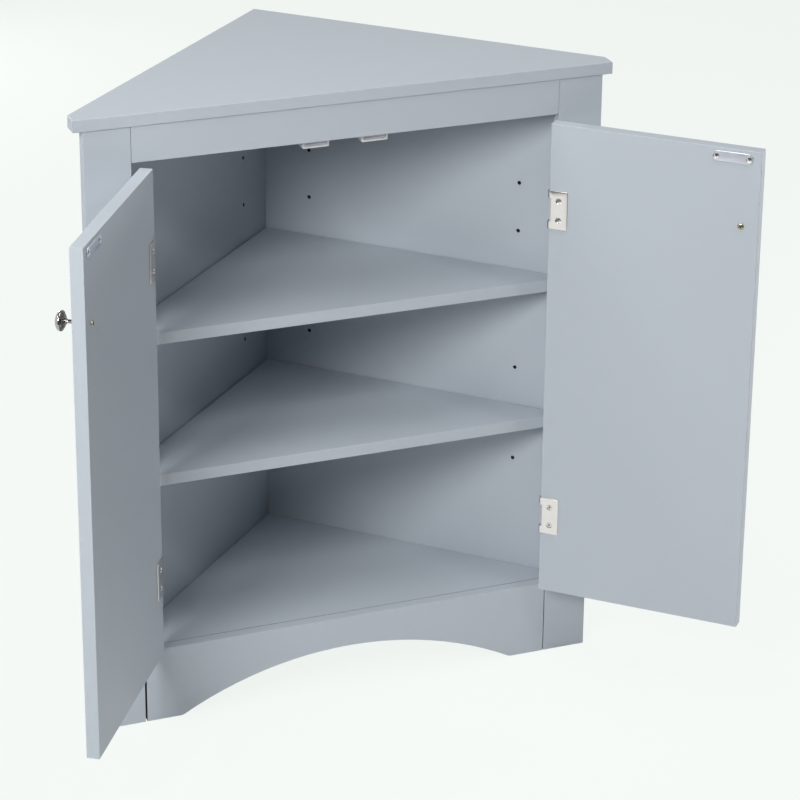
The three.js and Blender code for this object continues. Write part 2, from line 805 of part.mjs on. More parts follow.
// Each door turns in its own group about its hinge axis; its leaves' pins and the leaves on
// the stile stay with the body
for (const [hand, toCentre, angle] of [["left", 1, -leftDoorAngle], ["right", -1, rightDoorAngle]]) {
  const axisX = -toCentre * hingeAxisX;
  const door = new THREE.Group();
  door.position.set(axisX, hingeAxisY, 0);
  door.rotation.z = THREE.MathUtils.degToRad(angle);
  cupboard.add(door);
  const fixed = new THREE.Group();
  fixed.position.set(axisX, hingeAxisY, 0);
  cupboard.add(fixed);

  addPiece(door, `${hand}_door_panel`, doorPanel(toCentre), paint);
  ["upper", "lower"].forEach((level, index) => {
    const height = hingeHeights[index];
    addPiece(door, `${hand}_${level}_door_leaf`, doorLeaf(toCentre, height), nickel);
    addPiece(fixed, `${hand}_${level}_frame_leaf`, frameLeaf(toCentre, height), nickel);
    addPiece(fixed, `${hand}_${level}_hinge_pin`, hingePin(height), nickel);
    leafScrewPlaces(toCentre, height).forEach((place, number) => {
      const screw = countersunkScrew(place, inward, leafThickness);
      addPiece(door, `${hand}_${level}_leaf_screw_${number + 1}`, screw, nickel);
    });
  });
  addPiece(door, `${hand}_strike_plate`, strikePlate(toCentre), nickel);
  strikeScrewPlaces(toCentre).forEach((place, number) => {
    const screw = countersunkScrew(place, inward, strikeThickness);
    addPiece(door, `${hand}_strike_screw_${number + 1}`, screw, nickel);
  });
  addPiece(door, `${hand}_knob`, knob(toCentre), polished);
  addPiece(door, `${hand}_knob_bolt`, knobBolt(toCentre), yellowZinc);
}

export default cupboard;
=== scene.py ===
# Corner cupboard: the finish of its boards and the fine form of its fittings.
import json
import math

import bmesh
import bpy
from mathutils import Matrix, Vector


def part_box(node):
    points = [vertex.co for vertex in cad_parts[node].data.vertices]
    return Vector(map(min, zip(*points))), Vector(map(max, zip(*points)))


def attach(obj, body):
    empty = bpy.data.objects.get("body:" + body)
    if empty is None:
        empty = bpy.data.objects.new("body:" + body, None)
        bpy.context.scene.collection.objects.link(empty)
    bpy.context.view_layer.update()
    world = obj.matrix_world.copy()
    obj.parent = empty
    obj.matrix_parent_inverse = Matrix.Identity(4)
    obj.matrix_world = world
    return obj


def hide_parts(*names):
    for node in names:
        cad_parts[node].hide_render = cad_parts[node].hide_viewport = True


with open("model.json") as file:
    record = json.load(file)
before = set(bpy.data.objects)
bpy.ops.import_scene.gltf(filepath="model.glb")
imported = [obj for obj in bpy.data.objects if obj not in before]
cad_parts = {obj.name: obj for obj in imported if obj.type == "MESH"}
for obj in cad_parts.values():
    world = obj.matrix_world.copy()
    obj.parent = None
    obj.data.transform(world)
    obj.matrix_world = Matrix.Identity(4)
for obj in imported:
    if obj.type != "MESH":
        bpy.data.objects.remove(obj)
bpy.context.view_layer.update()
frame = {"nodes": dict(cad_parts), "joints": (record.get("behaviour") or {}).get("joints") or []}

mm = 0.001


# Camera. It stands to the left of the cupboard and above its top, and looks down into the
# open body through a long lens.
photo_side = 800
focal_length_in_pixels = 3030.3
lens_axis_pixel = (425, 312)
camera_place = (-1185.4 * mm, -3545.4 * mm, 1904.7 * mm)
camera_turn, camera_dip, camera_lean = map(math.radians, (-21.77, 22.05, 0.71))

bpy.ops.object.camera_add(location=camera_place)
camera = bpy.context.object
camera.data.lens = focal_length_in_pixels / photo_side * camera.data.sensor_width
camera.data.shift_x = 0.5 - lens_axis_pixel[0] / photo_side
camera.data.shift_y = lens_axis_pixel[1] / photo_side - 0.5
camera.rotation_euler = (
    Matrix.Rotation(camera_turn, 3, "Z")
    @ Matrix.Rotation(math.pi / 2 - camera_dip, 3, "X")
    @ Matrix.Rotation(camera_lean, 3, "Z")
).to_euler()
bpy.context.scene.camera = camera
bpy.context.scene.view_settings.view_transform = "Standard"


# Light. A tall softbox on the front left carries the light, a wide one hangs overhead, and
# weaker ones fill in from the left, from the right and low behind. The backdrop is pale all
# round, but a gloss sees a dark studio in front and overhead.
softboxes = (  # bearing in degrees; distance, height, width and length in metres; watts
    (227, 2.4, 1.85, 0.85, 1.0, 49),
    (270, 0.4, 2.9, 2.0, 2.0, 29),
    (172, 2.4, 2.4, 0.5, 0.5, 16),
    (305, 2.4, 2.6, 0.5, 0.5, 11),
    (0, 2.4, 0.7, 0.5, 0.5, 25),
    (95, 3.0, 0.6, 0.6, 0.6, 22),
)
lit_point = Vector((0, -0.2, 0.4))
backdrop_colour = (0.905, 0.947, 0.921, 1)
studio_colour = (0.09, 0.09, 0.095, 1)
ceiling_from, ceiling_full = 0.3, 0.75
front_from, front_full = -0.35, -0.85

for bearing, distance, height, width, length, watts in softboxes:
    around = Matrix.Rotation(math.radians(bearing), 3, "Z") @ Vector((distance, 0, 0))
    place = Vector((lit_point.x + around.x, lit_point.y + around.y, height))
    facing = (place - lit_point).to_track_quat("Z", "Y").to_euler()
    bpy.ops.object.light_add(type="AREA", location=place, rotation=facing)
    softbox = bpy.context.object
    softbox.data.shape = "ELLIPSE"
    softbox.data.size = width
    softbox.data.size_y = length
    softbox.data.energy = watts
    softbox.visible_camera = False


def feed(tree, socket, source):
    """Gives a socket a number, or links another socket to it."""
    if isinstance(source, (int, float)):
        socket.default_value = source
    else:
        tree.links.new(source, socket)


def calculated(tree, operation, *sources):
    """The result of a math node, where each source is a socket or a number."""
    node = tree.nodes.new("ShaderNodeMath")
    node.operation = operation
    for socket, source in zip(node.inputs, sources):
        feed(tree, socket, source)
    return node.outputs[0]


def smooth_step(tree, coordinates, axis, start, end):
    """A value that goes from 0 to 1 as one of the coordinates goes from start to end."""
    parts = tree.nodes.new("ShaderNodeSeparateXYZ")
    tree.links.new(coordinates, parts.inputs[0])
    step = tree.nodes.new("ShaderNodeMapRange")
    step.interpolation_type = "SMOOTHSTEP"
    step.inputs["From Min"].default_value = start
    step.inputs["From Max"].default_value = end
    tree.links.new(parts.outputs[axis], step.inputs["Value"])
    return step.outputs["Result"]


def seen_directly(tree):
    """A mask that is 1 for what the camera sees straight, in a gloss or through glass."""
    rays = tree.nodes.new("ShaderNodeLightPath").outputs
    straight = calculated(tree, "MAXIMUM", rays["Is Camera Ray"], rays["Is Glossy Ray"])
    return calculated(tree, "MAXIMUM", straight, rays["Is Transmission Ray"])


def dark_in_a_gloss(tree, darkness):
    """The backdrop's colour, which a gloss sees turn into the studio's where darkness is 1."""
    rays = tree.nodes.new("ShaderNodeLightPath").outputs
    tone = tree.nodes.new("ShaderNodeMix")
    tone.data_type = "RGBA"
    tone.inputs["A"].default_value = backdrop_colour
    tone.inputs["B"].default_value = studio_colour
    share = calculated(tree, "MULTIPLY", darkness, rays["Is Glossy Ray"])
    tree.links.new(share, tone.inputs["Factor"])
    return tone.outputs["Result"]


world = bpy.data.worlds.new("studio")
bpy.context.scene.world = world
world.use_nodes = True
sky = world.node_tree
direction = sky.nodes.new("ShaderNodeTexCoord").outputs["Generated"]
upwards = smooth_step(sky, direction, "Z", ceiling_from, ceiling_full)
frontwards = smooth_step(sky, direction, "Y", front_from, front_full)
darkness = calculated(sky, "MAXIMUM", upwards, frontwards)
backdrop = sky.nodes["Background"]
sky.links.new(dark_in_a_gloss(sky, darkness), backdrop.inputs["Color"])
sky.links.new(seen_directly(sky), backdrop.inputs["Strength"])


# Floor. A plain pale studio floor without an edge. It glows a little where it is seen, so
# that only a light shadow of the cupboard stays on it. A gloss sees it end in front.
floor_size = 120
floor_bounce = 0.85
floor_shade = 0.07
floor_glow = 0.94
floor_pale_to, floor_dark_from = -1.35, -1.95

bpy.ops.mesh.primitive_plane_add(size=floor_size, location=(0, 0, 0))
floor = bpy.context.object
floor.name = "studio_floor"
floor_paint = bpy.data.materials.new("pale_floor")
floor_paint.use_nodes = True
paint = floor_paint.node_tree
paint.nodes.remove(paint.nodes["Principled BSDF"])
bounce = paint.nodes.new("ShaderNodeBsdfDiffuse")
bounce.inputs["Color"].default_value = (floor_bounce, floor_bounce, floor_bounce, 1)
shade = paint.nodes.new("ShaderNodeBsdfDiffuse")
shade.inputs["Color"].default_value = (floor_shade, floor_shade, floor_shade, 1)
glow = paint.nodes.new("ShaderNodeEmission")
glow.inputs["Strength"].default_value = floor_glow
shade_and_glow = paint.nodes.new("ShaderNodeAddShader")
either = paint.nodes.new("ShaderNodeMixShader")
floor_place = paint.nodes.new("ShaderNodeTexCoord").outputs["Object"]
in_front = smooth_step(paint, floor_place, "Y", floor_pale_to, floor_dark_from)
paint.links.new(dark_in_a_gloss(paint, in_front), glow.inputs["Color"])
paint.links.new(shade.outputs[0], shade_and_glow.inputs[0])
paint.links.new(glow.outputs[0], shade_and_glow.inputs[1])
paint.links.new(seen_directly(paint), either.inputs["Fac"])
paint.links.new(bounce.outputs[0], either.inputs[1])
paint.links.new(shade_and_glow.outputs[0], either.inputs[2])
paint.links.new(either.outputs[0], paint.nodes["Material Output"].inputs["Surface"])
floor.data.materials.append(floor_paint)


# Boards. The body, shelves and doors are fibreboard with a sprayed blue-grey satin lacquer,
# which has a faint orange peel and finely rounded arrises. The faces that face into the
# joints, the shelves' hidden edges, the bottom panel's arrises and the pin holes' walls get a
# near-black finish: painted shade, standing in for the shadow inside the gaps and holes. The
# pin holes were drilled through the lacquer into bare board, but this black is darker than bare
# board.
lacquer_colour = (0.473, 0.519, 0.566, 1)
lacquer_roughness = 0.5
arris_radius = 0.2 * mm
arris_angle = math.radians(35)
weld_distance = 0.01 * mm
same_level = 0.1 * mm
largest_hole_facet = 10 * mm * mm
board_names = [
    "top_panel", "left_side_panel", "right_side_panel", "left_stile", "right_stile", "top_rail",
    "apron", "bottom_panel", "upper_shelf", "lower_shelf", "left_door_panel", "right_door_panel",
]


def node_group(name, numbers):
    """An empty shader group with a colour and some numbers going in, and a finish coming out."""
    group = bpy.data.node_groups.new(name, "ShaderNodeTree")
    group.interface.new_socket("Colour", in_out="INPUT", socket_type="NodeSocketColor")
    for number in numbers:
        group.interface.new_socket(number, in_out="INPUT", socket_type="NodeSocketFloat")
    group.interface.new_socket("Base Color", in_out="OUTPUT", socket_type="NodeSocketColor")
    group.interface.new_socket("Roughness", in_out="OUTPUT", socket_type="NodeSocketFloat")
    group.interface.new_socket("Normal", in_out="OUTPUT", socket_type="NodeSocketVector")
    return group, group.nodes.new("NodeGroupInput").outputs


def noise(group, scale, detail):
    """A noise that is fixed to the piece, whose waves are about 1 / scale metres long."""
    node = group.nodes.new("ShaderNodeTexNoise")
    node.inputs["Scale"].default_value = scale
    node.inputs["Detail"].default_value = detail
    place = group.nodes.new("ShaderNodeTexCoord").outputs["Object"]
    group.links.new(place, node.inputs["Vector"])
    return node.outputs["Fac"]


def centred(group, value, reach, middle=0.0):
    """Turns a noise into middle plus or minus reach, where each is a socket or a number."""
    from_middle = calculated(group, "SUBTRACT", value, 0.5)
    return calculated(group, "MULTIPLY_ADD", from_middle, reach, middle)


def bumped(group, height, strength, distance, under=None):
    """A bump, on top of another one where there is one."""
    node = group.nodes.new("ShaderNodeBump")
    node.inputs["Distance"].default_value = distance
    feed(group, node.inputs["Strength"], strength)
    group.links.new(height, node.inputs["Height"])
    if under is not None:
        group.links.new(under, node.inputs["Normal"])
    return node.outputs["Normal"]


def finished(group, colour, tone, roughness, normal):
    """Sends a finish out of its group; its colour is brighter where the tone is above zero."""
    shaded = group.nodes.new("ShaderNodeHueSaturation")
    group.links.new(calculated(group, "ADD", tone, 1.0), shaded.inputs["Value"])
    group.links.new(colour, shaded.inputs["Color"])
    result = group.nodes.new("NodeGroupOutput").inputs
    group.links.new(shaded.outputs["Color"], result["Base Color"])
    group.links.new(roughness, result["Roughness"])
    group.links.new(normal, result["Normal"])
    return group


def sprayed_lacquer():
    """Orange peel a few millimetres wide, fine dust in the film, and slow changes of tone."""
    group, given = node_group("sprayed_lacquer", ("Unevenness", "Roughness", "Patchiness"))
    slow = noise(group, scale=2.6, detail=3)
    patches = noise(group, scale=21, detail=2)
    peel = noise(group, scale=330, detail=1)
    dust = noise(group, scale=1500, detail=2)
    tone = centred(group, slow, given["Unevenness"])
    rough = centred(group, patches, given["Patchiness"], given["Roughness"])
    film = bumped(group, peel, strength=0.10, distance=0.25 * mm)
    dusty = bumped(group, dust, strength=0.06, distance=0.05 * mm, under=film)
    return finished(group, given["Colour"], tone, rough, dusty)


def finish_of(name, group, colour, metallic=0.0, **numbers):
    """A material: a group's colour, roughness and normal on a principled surface."""
    made = bpy.data.materials.new(name)
    made.use_nodes = True
    surface = made.node_tree.nodes["Principled BSDF"]
    effect = made.node_tree.nodes.new("ShaderNodeGroup")
    effect.node_tree = group
    effect.inputs["Colour"].default_value = colour
    for number, value in numbers.items():
        effect.inputs[number].default_value = value
    for socket in ("Base Color", "Roughness", "Normal"):
        made.node_tree.links.new(effect.outputs[socket], surface.inputs[socket])
    surface.inputs["Metallic"].default_value = metallic
    return made


def faces_at(mesh, axis, level):
    """A board's faces that lie at a level along an axis."""
    return [
        face for face in mesh.polygons
        if all(abs(mesh.vertices[corner].co[axis] - level) < same_level for corner in face.vertices)
    ]


def shelf_edges(mesh):
    """A shelf's edges in the gaps beside it: all but the front one."""
    return [face for face in mesh.polygons if abs(face.normal.z) < 0.5 and face.normal.y > -0.5]


def pin_hole_walls(mesh):
    """The small faces between a side panel's two wide ones."""
    across = max(mesh.polygons, key=lambda face: face.area).normal
    depths = [corner.co.dot(across) for corner in mesh.vertices]
    nearest, deepest = min(depths) + same_level, max(depths) - same_level
    small = [face for face in mesh.polygons if face.area < largest_hole_facet]
    return [face for face in small if nearest < face.center.dot(across) < deepest]


spraying = sprayed_lacquer()
lacquer = finish_of(
    "blue_grey_lacquer", spraying, lacquer_colour,
    Unevenness=0.05, Roughness=lacquer_roughness, Patchiness=0.08,
)
# Painted shade: a near-black for the faces inside the joints and holes, where shade falls.
gap_shade_board = finish_of(
    "painted_gap_shade", spraying, (0.045, 0.038, 0.032, 1),
    Unevenness=0.3, Roughness=0.85, Patchiness=0.05,
)
x_axis, y_axis, z_axis = range(3)
lowest, highest = 0, 1
shaded_ends = {
    "apron": ((x_axis, lowest), (x_axis, highest)),
    "top_rail": ((x_axis, lowest), (x_axis, highest), (z_axis, highest)),
    "bottom_panel": ((y_axis, lowest),),
    "left_stile": ((z_axis, highest),),
    "right_stile": ((z_axis, highest),),
}
shaded_walls = {
    "upper_shelf": shelf_edges,
    "lower_shelf": shelf_edges,
    "left_side_panel": pin_hole_walls,
    "right_side_panel": pin_hole_walls,
}
for name in board_names:
    board = frame["nodes"][name]
    board.data.materials.clear()
    board.data.materials.append(lacquer)
    if name in shaded_walls or name in shaded_ends:
        board.data.materials.append(gap_shade_board)
    shaded_faces = shaded_walls[name](board.data) if name in shaded_walls else []
    for axis, end in shaded_ends.get(name, ()):
        shaded_faces += faces_at(board.data, axis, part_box(name)[end][axis])
    for face in shaded_faces:
        face.material_index = 1
    weld = board.modifiers.new("weld", "WELD")
    weld.merge_threshold = weld_distance
    arris = board.modifiers.new("arris", "BEVEL")
    arris.width = arris_radius
    arris.segments = 2
    arris.limit_method = "ANGLE"
    arris.angle_limit = arris_angle
    if name == "bottom_panel":
        # Painted shade: its rounded arrises take the near-black finish.
        arris.material = 1  # so its joint with the apron shows as a thin dark line
    board.modifiers.new("flat_faces", "WEIGHTED_NORMAL")


# Screws. Small nickel-plated countersunk wood screws with a slightly domed head and a cross
# recess hold the hinge leaves, the strike plates and the catches. The recess's walls are
# painted dark, as painted shade. One is turned, recessed and then copied, and each copy has
# stopped at another angle.
screw_tip_radius = 0.3 * mm
screw_shank_radius = 1.7 * mm
screw_head_radius = 3.3 * mm
screw_point = 3 * mm
screw_reach = 10 * mm
screw_sink = 0.5 * mm
screw_sides = 32
door_screw_spin, door_screw_spin_step = 0.7, 1.3
catch_screw_spin_step = 0.5
recess_reach = 2.5 * mm
recess_width = 1.1 * mm
recess_depth = 1.5 * mm
recess_taper = 0.45
# Below this depth the recess's walls are painted dark, as painted shade.
recess_unshaded_depth = 0.25 * mm
recess_shade_share = 0.85
turned_smooth_angle = math.radians(35)
door_body = {"left": "left_door", "right": "right_door"}
lying = Matrix.Rotation(-math.pi / 2, 4, "X")


def deselect_all():
    """Leaves edit mode and deselects everything, since an operator acts on what is selected."""
    if bpy.context.object is not None and bpy.context.object.mode != "OBJECT":
        bpy.ops.object.mode_set(mode="OBJECT")
    bpy.ops.object.select_all(action="DESELECT")


def take_up(piece):
    """Selects the piece alone and makes it the active one."""
    deselect_all()
    bpy.context.view_layer.objects.active = piece
    piece.select_set(True)


def turn_faces_outwards():
    """In edit mode, makes all faces look outwards, and then leaves edit mode."""
    bpy.ops.mesh.select_all(action="SELECT")
    bpy.ops.mesh.normals_make_consistent(inside=False)
    bpy.ops.object.mode_set(mode="OBJECT")


def turn_on_lathe(name, rings, sides):
    """Turns a piece about Z: the first ring is a disc, and each next one is drawn from it."""
    deselect_all()
    radius, height = rings[0]
    bpy.ops.mesh.primitive_circle_add(
        vertices=sides, radius=radius, fill_type="NGON", location=(0, 0, height)
    )
    piece = bpy.context.object
    piece.name = name
    bpy.ops.object.mode_set(mode="EDIT")
    bpy.ops.mesh.select_all(action="SELECT")
    for (last_radius, last_height), (radius, height) in zip(rings, rings[1:]):
        rise = (0, 0, height - last_height)
        bpy.ops.mesh.extrude_region_move(TRANSFORM_OT_translate={"value": rise})
        share = radius / last_radius
        bpy.ops.transform.resize(value=(share, share, 1), center_override=(0, 0, height))
    turn_faces_outwards()
    bpy.ops.object.transform_apply(location=True, rotation=True, scale=True)
    bpy.ops.object.shade_smooth_by_angle(angle=turned_smooth_angle)
    return piece


def combine(piece, other, operation):
    """Cuts the other form out of the piece or joins it on, and takes the other one away."""
    take_up(piece)
    merge = piece.modifiers.new("merge", "BOOLEAN")
    merge.operation = operation
    merge.solver = "EXACT"
    merge.object = other
    bpy.ops.object.modifier_apply(modifier=merge.name)
    bpy.data.objects.remove(other)


def round_edges(piece, width, segments, degrees):
    """Rounds the edges of the active piece where its surface turns by more than that angle."""
    rim = piece.modifiers.new("rim", "BEVEL")
    rim.width = width
    rim.segments = segments
    rim.limit_method = "ANGLE"
    rim.angle_limit = math.radians(degrees)
    bpy.ops.object.modifier_apply(modifier=rim.name)


def select_parts(kind, wanted):
    """In edit mode, selects the vertices, edges or faces whose middle passes a test."""
    mesh = bmesh.from_edit_mesh(bpy.context.object.data)
    bpy.ops.mesh.select_mode(type=kind)
    bpy.ops.mesh.select_all(action="DESELECT")
    parts = {"VERT": mesh.verts, "EDGE": mesh.edges, "FACE": mesh.faces}[kind]
    for part in parts:
        corners = [part] if kind == "VERT" else part.verts
        middle = sum((corner.co for corner in corners), Vector()) / len(corners)
        if wanted(middle):
            part.select_set(True)
    mesh.select_flush_mode()
    bmesh.update_edit_mesh(bpy.context.object.data)


def paint_shade(piece, wanted):
    """Gives the faces whose middle passes a test the piece's second finish, a darker one that paints
    shade.
    """
    take_up(piece)
    bpy.ops.object.mode_set(mode="EDIT")
    select_parts("FACE", wanted)
    mesh = bmesh.from_edit_mesh(piece.data)
    for face in mesh.faces:
        if face.select:
            face.material_index = 1
    bmesh.update_edit_mesh(piece.data)
    bpy.ops.object.mode_set(mode="OBJECT")


def cross_recess(piece, reach=recess_reach, width=recess_width):
    """Two crossed tapering slots in the top of a screw's head, which lies at height zero."""
    for turn in (0, math.pi / 2):
        deselect_all()
        bpy.ops.mesh.primitive_cube_add(size=1, rotation=(0, 0, turn))
        slot = bpy.context.object
        slot.scale = (2 * reach, width, 2 * recess_depth)
        bpy.ops.object.transform_apply(location=True, rotation=True, scale=True)
        bpy.ops.object.mode_set(mode="EDIT")
        select_parts("VERT", lambda at: at.z < 0)
        bpy.ops.transform.resize(value=(recess_taper, recess_taper, 1), center_override=(0, 0, 0))
        bpy.ops.object.mode_set(mode="OBJECT")
        combine(piece, slot, "DIFFERENCE")
    # Painted shade: the recess's walls below a thin unshaded top get the dark finish.
    floor_level, wall_top = -recess_depth - same_level, -recess_unshaded_depth
    shade_reach = recess_shade_share * reach
    paint_shade(piece, lambda at: floor_level < at.z < wall_top and at.xy.length < shade_reach)


def copy_of(master, name):
    """A copy with its own mesh, to be put in its own place."""
    piece = master.copy()
    piece.data = master.data.copy()
    piece.name = name
    bpy.context.scene.collection.objects.link(piece)
    return piece


def settle(piece, place, body, slot, finishes, *nodes):
    """Puts a finished piece in place for good and hands it to the body that it rides on."""
    take_up(piece)
    piece.matrix_world = place @ piece.matrix_world
    bpy.ops.object.transform_apply(location=True, rotation=True, scale=True)
    if place.determinant() < 0:
        bpy.ops.object.mode_set(mode="EDIT")
        turn_faces_outwards()
    for finish in finishes:
        piece.data.materials.append(finish)
    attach(piece, body)
    if nodes:
        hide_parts(*nodes)


def shut_door_frame(hand):
    """Where the shut door's own frame lies: its origin is on the hinge axis, at floor height."""
    joint = next(joint for joint in frame["joints"] if joint["child"] == door_body[hand])
    opened = math.radians(-joint["range_deg"][0]) * joint["axis"][2]
    axis = Vector((joint["pos_m"][0], joint["pos_m"][1], 0))
    mirror = Matrix.Diagonal((1 if hand == "left" else -1, 1, 1, 1))
    return Matrix.Translation(axis), Matrix.Rotation(opened, 4, "Z"), mirror


def on_door(hand):
    """Takes what is made for a shut left-hand door to the place where this door stands open."""
    axis, turn, mirror = shut_door_frame(hand)
    return axis @ turn @ mirror


def on_stile(hand):
    """Takes what is made for the left hinge axis to this one's, on the body."""
    axis, _, mirror = shut_door_frame(hand)
    return axis @ mirror


def box_in(place, node):
    """A node's lowest and highest corner in the frame of that place."""
    back = place.inverted()
    corners = [back @ vertex.co for vertex in frame["nodes"][node].data.vertices]
    low = Vector([min(corner[axis] for corner in corners) for axis in range(3)])
    high = Vector([max(corner[axis] for corner in corners) for axis in range(3)])
    return low, high


def inner_middle(low, high, sink=0.0):
    """The middle of a box's side at the highest Y, sunk into the box by that much."""
    return Vector(((low.x + high.x) / 2, high.y - sink, (low.z + high.z) / 2))


def plated_metal():
    """Plating: a faint grain, patches of duller sheen, and a slight change of tone with them."""
    group, given = node_group("plated_metal", ("Tone", "Roughness", "Dullness", "Grain"))
    smear = noise(group, scale=90, detail=4)
    grain = noise(group, scale=2600, detail=2)
    tone = centred(group, smear, given["Tone"])
    rough = centred(group, smear, given["Dullness"], given["Roughness"])
    grained = bumped(group, grain, given["Grain"], distance=0.03 * mm)
    return finished(group, given["Colour"], tone, rough, grained)


plating = plated_metal()
screw_nickel = finish_of(
    "screw_nickel", plating, (0.74, 0.70, 0.68, 1), 1.0,
    Tone=0.2, Roughness=0.15, Dullness=0.12, Grain=0.12,
)
# Painted shade: a near-black nickel for recess walls and the hinge arms, where shade falls.
painted_shade_metal = finish_of(
    "painted_shade_metal", plating, (0.10, 0.09, 0.085, 1), 1.0,
    Tone=0.3, Roughness=0.45, Dullness=0.2, Grain=0.2,
)
nickel_and_recess_shade = (screw_nickel, painted_shade_metal)

screw_rings = [
    (screw_tip_radius, -screw_reach),
    (screw_shank_radius, -screw_reach + screw_point),
    (screw_shank_radius, -1.7 * mm),
    (screw_head_radius, -0.2 * mm),
    (screw_head_radius - 0.06 * mm, -0.05 * mm),
    (screw_head_radius - 0.25 * mm, 0),
    (screw_head_radius * 0.75, 0.14 * mm),
    (screw_head_radius * 0.5, 0.25 * mm),
    (screw_head_radius * 0.25, 0.31 * mm),
]
screw = turn_on_lathe("crosshead_screw", screw_rings, screw_sides)
cross_recess(screw)

for hand in ("left", "right"):
    nodes = [f"{hand}_{level}_leaf_screw_{n}" for level in ("upper", "lower") for n in (1, 2)]
    nodes += [f"{hand}_strike_screw_{n}" for n in (1, 2)]
    for number, node in enumerate(nodes):
        seat = Matrix.Translation(inner_middle(*box_in(on_door(hand), node), screw_sink))
        spun = Matrix.Rotation(door_screw_spin + door_screw_spin_step * number, 4, "Z")
        settle(
            copy_of(screw, node + "_crosshead"), on_door(hand) @ seat @ lying @ spun,
            door_body[hand], "screw_steel", nickel_and_recess_shade, node,
        )
    for number in (1, 2):
        node = f"{hand}_catch_screw_{number}"
        seat = Matrix.Translation(inner_middle(*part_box(node)))
        spun = Matrix.Rotation(catch_screw_spin_step * number, 4, "Z")
        settle(
            copy_of(screw, node + "_crosshead"), seat @ lying @ spun,
            "cabinet", "screw_steel", nickel_and_recess_shade, node,
        )


# Hinges. Each is two leaves of pressed nickel-plated steel and a pin. The door leaf lies on
# the inner face, wraps round the door's edge with two arms and ends in two rolled
# knuckles; the stile's leaf ends in one long knuckle that sits between them. The arms'
# bends are painted dark, as painted shade from the joint.
sheet = 1.6 * mm
sheet_rim_radius = 0.5 * mm
sheet_smooth_angle = math.radians(32)
countersink_radius = 3.9 * mm
countersink_sides = 40
knuckle_middle_radius = 3.3 * mm
door_knuckle_roll = math.radians(302)
door_knuckle_steps = 30
stile_knuckle_roll = math.radians(288)
stile_knuckle_steps = 28
centre_knuckle = 29 * mm
knuckle_play = 0.2 * mm
bend_radius = 1.3 * mm
bend_steps = 5
curl_entry_radius = 1.0 * mm
curl_entry_steps = 4
arm_place = -1.0 * mm
arm_shade_depth = 0.3 * mm
notch_reach = 2.1 * mm
leaf_corner = 2 * mm
leaf_corner_segments = 5
leaf_screw_spacing = 25 * mm
leaf_screw_reach = 12.4 * mm
stile_leaf_width = 13.6 * mm
stile_sheet_place = -knuckle_middle_radius + 0.1 * mm
pin_shank_radius = 2.3 * mm
pin_head_height = 1.2 * mm
pin_head_rim = 0.35 * mm
pin_sides = 32
stile_screw_spin, stile_screw_spin_step = 0.4, 0.9
hinge_nickel = finish_of(
    "hinge_nickel", plating, (0.80, 0.755, 0.74, 1), 1.0,
    Tone=0.08, Roughness=0.13, Dullness=0.06, Grain=0.35,
)


def extrude_edges(offset):
    """Draws the sheet on from the selected edges."""
    bpy.ops.mesh.extrude_edges_move(TRANSFORM_OT_translate={"value": offset})


def spin_edges(angle, centre, steps):
    """Rolls the selected edges about an upright axis, anticlockwise from above if positive."""
    bpy.ops.mesh.spin(steps=steps, angle=-angle, center=centre, axis=(0, 0, 1))


def sheet_plate(name, corner_low, corner_high, level, upright):
    """A flat sheet between two corners, cut across at the centre knuckle's two ends."""
    deselect_all()
    middle = (corner_low + corner_high) / 2
    size = corner_high - corner_low
    turn = (math.pi / 2, 0, 0 if upright == "X" else math.pi / 2)
    bpy.ops.mesh.primitive_plane_add(size=1, location=middle, rotation=turn)
    plate = bpy.context.object
    plate.name = name
    plate.scale = (size.x if upright == "X" else size.y, size.z, 1)
    bpy.ops.object.transform_apply(location=True, rotation=True, scale=True)
    bpy.ops.object.mode_set(mode="EDIT")
    for cut in (-level, level):
        bpy.ops.mesh.select_all(action="SELECT")
        bpy.ops.mesh.bisect(plane_co=(0, 0, middle.z + cut), plane_no=(0, 0, 1))
    return plate


def round_corners(wanted):
    """In edit mode, rounds the sheet's corners that pass a test."""
    select_parts("VERT", wanted)
    bpy.ops.mesh.bevel(offset=leaf_corner, segments=leaf_corner_segments, affect="VERTICES")


def thicken(plate):
    """Gives the sheet its thickness and breaks its edges."""
    bpy.ops.mesh.select_all(action="SELECT")
    bpy.ops.mesh.remove_doubles(threshold=weld_distance)
    turn_faces_outwards()
    wall = plate.modifiers.new("wall", "SOLIDIFY")
    wall.thickness = sheet
    wall.offset = 0
    wall.use_even_offset = True
    bpy.ops.object.modifier_apply(modifier=wall.name)
    round_edges(plate, sheet_rim_radius, segments=4, degrees=50)


def countersink(piece, seat, towards):
    """A cone cut into the sheet for a screw's head; towards is the way that the head faces."""
    deselect_all()
    reach = 2 * sheet
    bpy.ops.mesh.primitive_cone_add(
        vertices=countersink_sides, location=seat, depth=2 * reach,
        radius1=countersink_radius - reach, radius2=countersink_radius + reach,
        rotation=towards.to_track_quat("Z", "Y").to_euler(),
    )
    combine(piece, bpy.context.object, "DIFFERENCE")


